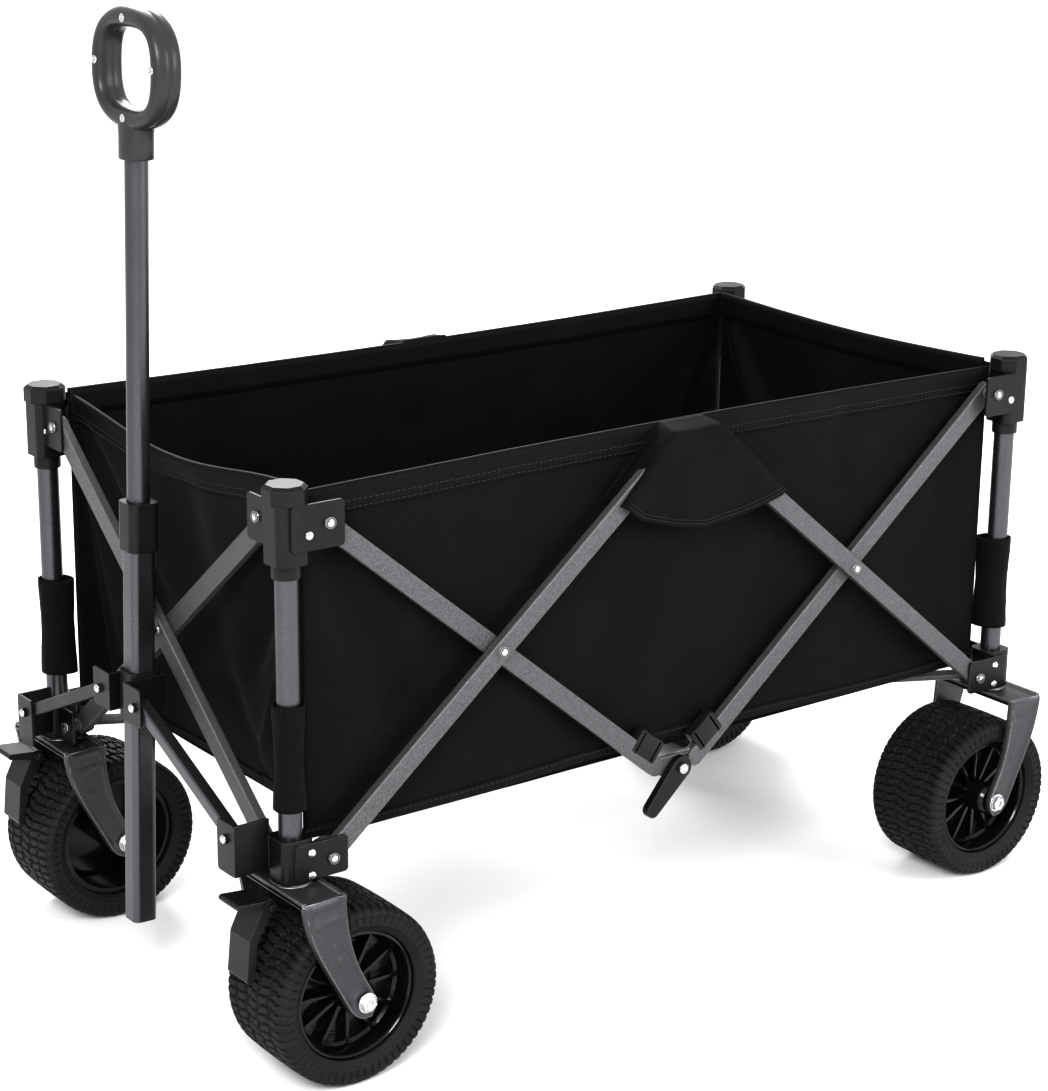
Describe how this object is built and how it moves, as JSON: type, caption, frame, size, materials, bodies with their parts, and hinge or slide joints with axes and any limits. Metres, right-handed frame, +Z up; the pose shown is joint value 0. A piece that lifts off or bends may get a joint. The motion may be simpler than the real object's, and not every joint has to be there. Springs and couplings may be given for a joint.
{
  "type": "folding camp wagon",
  "caption": "Scissor-framed folding camp wagon with an open fabric tub, wide wheels, swivel front forks, a tilting telescopic pull handle and foot brakes.",
  "frame": {"origin": "on the ground, midway between the four corner post axes, under the middle of the tub", "axes": "+X to the rear, away from the pull handle; +Y to the wagon's right side; +Z up"},
  "size_m": [1.03, 0.582, 0.9711],
  "materials": {
    "hammertone_bar": "hammertone silver-grey powder coat",
    "grey_tube": "satin grey powder coat",
    "black_steel": "satin black powder coat on pressed steel",
    "black_plastic": "moulded black plastic, fine texture",
    "grip_plastic": "two moulded halves, satin",
    "gloss_hub": "glossy black moulded hub",
    "tyre_rubber": "moulded block tread",
    "black_fabric": "coated polyester plain weave, double stitched"
  },
  "bodies": {
    "frame_fl": {"lower_bracket_fl": "black_steel", "post_tube_fl": "grey_tube", "tub_floor": "black_fabric"},
    "frame_fr": {"lower_bracket_fr": "black_steel", "post_tube_fr": "grey_tube"},
    "frame_rl": {"lower_bracket_rl": "black_steel", "post_tube_rl": "grey_tube", "fork_rl": "black_steel"},
    "frame_rr": {"lower_bracket_rr": "black_steel", "post_tube_rr": "grey_tube", "fork_rr": "black_steel"},
    "head_fl": {"top_bracket_fl": "black_plastic", "post_cap_fl": "black_plastic", "tub_wall_left": "black_fabric", "tub_wall_front": "black_fabric"},
    "head_fr": {"top_bracket_fr": "black_plastic", "post_cap_fr": "black_plastic", "tub_wall_right": "black_fabric"},
    "head_rl": {"top_bracket_rl": "black_plastic", "post_cap_rl": "black_plastic", "tub_wall_rear": "black_fabric"},
    "head_rr": {"top_bracket_rr": "black_plastic", "post_cap_rr": "black_plastic"},
    "bar_left_outer_front": {"bar_left_outer_front": "hammertone_bar"},
    "bar_left_outer_rear": {"bar_left_outer_rear": "hammertone_bar"},
    "bar_left_inner_front": {"bar_left_inner_front": "hammertone_bar"},
    "bar_left_inner_rear": {"bar_left_inner_rear": "hammertone_bar"},
    "bar_right_outer_front": {"bar_right_outer_front": "hammertone_bar"},
    "bar_right_outer_rear": {"bar_right_outer_rear": "hammertone_bar"},
    "bar_right_inner_front": {"bar_right_inner_front": "hammertone_bar"},
    "bar_right_inner_rear": {"bar_right_inner_rear": "hammertone_bar"},
    "bar_front_outer": {"bar_front_outer": "hammertone_bar"},
    "bar_front_inner": {"bar_front_inner": "hammertone_bar"},
    "bar_rear_outer": {"bar_rear_outer": "hammertone_bar"},
    "bar_rear_inner": {"bar_rear_inner": "hammertone_bar"},
    "floor_arm_fl": {"floor_arm_fl": "hammertone_bar"},
    "wheel_fl": {"tyre_fl": "tyre_rubber", "hub_fl": "gloss_hub"},
    "floor_arm_fr": {"floor_arm_fr": "hammertone_bar"},
    "wheel_fr": {"tyre_fr": "tyre_rubber", "hub_fr": "gloss_hub"},
    "floor_arm_rl": {"floor_arm_rl": "hammertone_bar"},
    "wheel_rl": {"tyre_rl": "tyre_rubber", "hub_rl": "gloss_hub"},
    "floor_arm_rr": {"floor_arm_rr": "hammertone_bar"},
    "wheel_rr": {"tyre_rr": "tyre_rubber", "hub_rr": "gloss_hub"},
    "caster_left": {"fork_fl": "black_steel"},
    "caster_right": {"fork_fr": "black_steel"},
    "brake_left": {"brake_lever_left": "black_steel"},
    "brake_right": {"brake_lever_right": "black_steel"},
    "latch_left": {"latch_lever_left": "black_steel"},
    "latch_right": {"latch_lever_right": "black_steel"},
    "handle_bracket": {"handle_bracket": "black_steel"},
    "handle_lower": {"handle_lower_tube": "grey_tube", "handle_sleeves": "black_plastic"},
    "handle_upper": {"handle_upper_tube": "grey_tube", "handle_grip": "grip_plastic"},
    "link_left": {"handle_link_left": "grey_tube"},
    "link_right": {"handle_link_right": "black_steel"}
  },
  "joints": [
    {"name": "fold", "type": "hinge", "parent": "frame_fl", "child": "bar_left_outer_front", "pos_m": [-0.422, -0.239, 0.222], "axis": [0, -1, 0], "range_deg": [0, 40.5], "deforming": ["tub_wall_left", "tub_wall_right", "tub_wall_front", "tub_wall_rear", "tub_floor"]},
    {"name": "left_front_crossing", "type": "hinge", "parent": "bar_left_outer_front", "child": "bar_left_inner_front", "pos_m": [-0.228, -0.239, 0.382], "axis": [0, -1, 0], "range_deg": [-81, 0]},
    {"name": "left_front_top", "type": "hinge", "parent": "bar_left_inner_front", "child": "head_fl", "pos_m": [-0.422, -0.239, 0.542], "axis": [0, -1, 0], "range_deg": [0, 40.5]},
    {"name": "left_middle", "type": "hinge", "parent": "bar_left_inner_front", "child": "bar_left_inner_rear", "pos_m": [0, -0.239, 0.2115], "axis": [0, -1, 0], "range_deg": [0, 81]},
    {"name": "left_rear_crossing", "type": "hinge", "parent": "bar_left_inner_rear", "child": "bar_left_outer_rear", "pos_m": [0.228, -0.239, 0.382], "axis": [0, -1, 0], "range_deg": [-81, 0]},
    {"name": "left_rear_top", "type": "hinge", "parent": "bar_left_inner_rear", "child": "head_rl", "pos_m": [0.422, -0.239, 0.542], "axis": [0, -1, 0], "range_deg": [-40.5, 0]},
    {"name": "left_rear_low", "type": "hinge", "parent": "bar_left_outer_rear", "child": "frame_rl", "pos_m": [0.422, -0.239, 0.222], "axis": [0, -1, 0], "range_deg": [0, 40.5]},
    {"name": "front_left_low", "type": "hinge", "parent": "frame_fl", "child": "bar_front_outer", "pos_m": [-0.457, -0.194, 0.222], "axis": [1, 0, 0], "range_deg": [0, 40.5]},
    {"name": "front_crossing", "type": "hinge", "parent": "bar_front_outer", "child": "bar_front_inner", "pos_m": [-0.457, 0, 0.382], "axis": [1, 0, 0], "range_deg": [-81, 0]},
    {"name": "front_right_top", "type": "hinge", "parent": "bar_front_outer", "child": "head_fr", "pos_m": [-0.457, 0.194, 0.542], "axis": [1, 0, 0], "range_deg": [-40.5, 0]},
    {"name": "front_right_low", "type": "hinge", "parent": "bar_front_inner", "child": "frame_fr", "pos_m": [-0.457, 0.194, 0.222], "axis": [1, 0, 0], "range_deg": [0, 40.5]},
    {"name": "rear_left_low", "type": "hinge", "parent": "frame_rl", "child": "bar_rear_outer", "pos_m": [0.457, -0.194, 0.222], "axis": [1, 0, 0], "range_deg": [0, 40.5]},
    {"name": "rear_crossing", "type": "hinge", "parent": "bar_rear_outer", "child": "bar_rear_inner", "pos_m": [0.457, 0, 0.382], "axis": [1, 0, 0], "range_deg": [-81, 0]},
    {"name": "rear_right_top", "type": "hinge", "parent": "bar_rear_outer", "child": "head_rr", "pos_m": [0.457, 0.194, 0.542], "axis": [1, 0, 0], "range_deg": [-40.5, 0]},
    {"name": "rear_right_low", "type": "hinge", "parent": "bar_rear_inner", "child": "frame_rr", "pos_m": [0.457, 0.194, 0.222], "axis": [1, 0, 0], "range_deg": [0, 40.5]},
    {"name": "right_front_low", "type": "hinge", "parent": "frame_fr", "child": "bar_right_outer_front", "pos_m": [-0.422, 0.239, 0.222], "axis": [0, -1, 0], "range_deg": [0, 40.5]},
    {"name": "right_front_crossing", "type": "hinge", "parent": "bar_right_outer_front", "child": "bar_right_inner_front", "pos_m": [-0.228, 0.239, 0.382], "axis": [0, -1, 0], "range_deg": [-81, 0]},
    {"name": "right_middle", "type": "hinge", "parent": "bar_right_inner_front", "child": "bar_right_inner_rear", "pos_m": [0, 0.239, 0.2115], "axis": [0, -1, 0], "range_deg": [0, 81]},
    {"name": "right_rear_crossing", "type": "hinge", "parent": "bar_right_inner_rear", "child": "bar_right_outer_rear", "pos_m": [0.228, 0.239, 0.382], "axis": [0, -1, 0], "range_deg": [-81, 0]},
    {"name": "handle_link_left_outer", "type": "hinge", "parent": "frame_fl", "child": "link_left", "pos_m": [-0.49825, -0.2, 0.246], "axis": [1, 0, 0], "range_deg": [0, 60.51]},
    {"name": "handle_link_left_inner", "type": "hinge", "parent": "link_left", "child": "handle_bracket", "pos_m": [-0.49825, -0.034, 0.322], "axis": [1, 0, 0], "range_deg": [-60.51, 0]},
    {"name": "handle_link_right_outer", "type": "hinge", "parent": "frame_fr", "child": "link_right", "pos_m": [-0.49825, 0.2, 0.246], "axis": [1, 0, 0], "range_deg": [-60.51, 0]},
    {"name": "floor_arm_fl_pivot", "type": "hinge", "parent": "frame_fl", "child": "floor_arm_fl", "pos_m": [-0.42827, -0.21414, 0.216], "axis": [0.4472, -0.8944, 0], "range_deg": [0, 78]},
    {"name": "floor_arm_fr_pivot", "type": "hinge", "parent": "frame_fr", "child": "floor_arm_fr", "pos_m": [-0.42827, 0.21414, 0.216], "axis": [-0.4472, -0.8944, 0], "range_deg": [0, 78]},
    {"name": "floor_arm_rl_pivot", "type": "hinge", "parent": "frame_rl", "child": "floor_arm_rl", "pos_m": [0.42827, -0.21414, 0.216], "axis": [0.4472, 0.8944, 0], "range_deg": [0, 78]},
    {"name": "floor_arm_rr_pivot", "type": "hinge", "parent": "frame_rr", "child": "floor_arm_rr", "pos_m": [0.42827, 0.21414, 0.216], "axis": [-0.4472, 0.8944, 0], "range_deg": [0, 78]},
    {"name": "handle_tilt", "type": "hinge", "parent": "handle_bracket", "child": "handle_lower", "pos_m": [-0.483, 0, 0.312], "axis": [0, 1, 0], "range_deg": [-35, 0]},
    {"name": "handle_extend", "type": "slide", "parent": "handle_lower", "child": "handle_upper", "axis": [0.0297, 0, 0.9996], "range_m": [-0.3, 0]},
    {"name": "caster_left_swivel", "type": "hinge", "parent": "frame_fl", "child": "caster_left", "pos_m": [-0.456, -0.228, 0.2], "axis": [0, 0, 1], "continuous": true},
    {"name": "wheel_fl_spin", "type": "hinge", "parent": "caster_left", "child": "wheel_fl", "pos_m": [-0.412, -0.228, 0.089], "axis": [0, 1, 0], "continuous": true},
    {"name": "caster_right_swivel", "type": "hinge", "parent": "frame_fr", "child": "caster_right", "pos_m": [-0.456, 0.228, 0.2], "axis": [0, 0, 1], "continuous": true},
    {"name": "wheel_fr_spin", "type": "hinge", "parent": "caster_right", "child": "wheel_fr", "pos_m": [-0.412, 0.228, 0.089], "axis": [0, 1, 0], "continuous": true},
    {"name": "wheel_rl_spin", "type": "hinge", "parent": "frame_rl", "child": "wheel_rl", "pos_m": [0.418, -0.228, 0.089], "axis": [0, 1, 0], "continuous": true},
    {"name": "wheel_rr_spin", "type": "hinge", "parent": "frame_rr", "child": "wheel_rr", "pos_m": [0.418, 0.228, 0.089], "axis": [0, 1, 0], "continuous": true},
    {"name": "brake_left_pivot", "type": "hinge", "parent": "caster_left", "child": "brake_left", "pos_m": [-0.49, -0.228, 0.191], "axis": [0, -1, 0], "range_deg": [0, 7]},
    {"name": "latch_left_pivot", "type": "hinge", "parent": "bar_left_inner_front", "child": "latch_left", "pos_m": [0, -0.229, 0.2115], "axis": [0, 1, 0], "range_deg": [0, 60]},
    {"name": "brake_right_pivot", "type": "hinge", "parent": "caster_right", "child": "brake_right", "pos_m": [-0.49, 0.228, 0.191], "axis": [0, -1, 0], "range_deg": [0, 7]},
    {"name": "latch_right_pivot", "type": "hinge", "parent": "bar_right_inner_rear", "child": "latch_right", "pos_m": [0, 0.229, 0.2115], "axis": [0, -1, 0], "range_deg": [0, 60]}
  ],
  "couplings": [
    {"joint": "left_front_crossing", "follows": "fold", "ratio": -2},
    {"joint": "left_front_top", "follows": "fold", "ratio": 1},
    {"joint": "left_middle", "follows": "fold", "ratio": 2},
    {"joint": "left_rear_crossing", "follows": "fold", "ratio": -2},
    {"joint": "left_rear_top", "follows": "fold", "ratio": -1},
    {"joint": "left_rear_low", "follows": "fold", "ratio": 1},
    {"joint": "front_left_low", "follows": "fold", "ratio": 1},
    {"joint": "front_crossing", "follows": "fold", "ratio": -2},
    {"joint": "front_right_top", "follows": "fold", "ratio": -1},
    {"joint": "front_right_low", "follows": "fold", "ratio": 1},
    {"joint": "rear_left_low", "follows": "fold", "ratio": 1},
    {"joint": "rear_crossing", "follows": "fold", "ratio": -2},
    {"joint": "rear_right_top", "follows": "fold", "ratio": -1},
    {"joint": "rear_right_low", "follows": "fold", "ratio": 1},
    {"joint": "right_front_low", "follows": "fold", "ratio": 1},
    {"joint": "right_front_crossing", "follows": "fold", "ratio": -2},
    {"joint": "right_middle", "follows": "fold", "ratio": 2},
    {"joint": "right_rear_crossing", "follows": "fold", "ratio": -2},
    {"joint": "handle_link_left_outer", "follows": "fold", "ratio": 1.494},
    {"joint": "handle_link_left_inner", "follows": "fold", "ratio": -1.494},
    {"joint": "handle_link_right_outer", "follows": "fold", "ratio": -1.494},
    {"joint": "floor_arm_fl_pivot", "follows": "fold", "ratio": 1.926},
    {"joint": "floor_arm_fr_pivot", "follows": "fold", "ratio": 1.926},
    {"joint": "floor_arm_rl_pivot", "follows": "fold", "ratio": 1.926},
    {"joint": "floor_arm_rr_pivot", "follows": "fold", "ratio": 1.926}
  ]
}
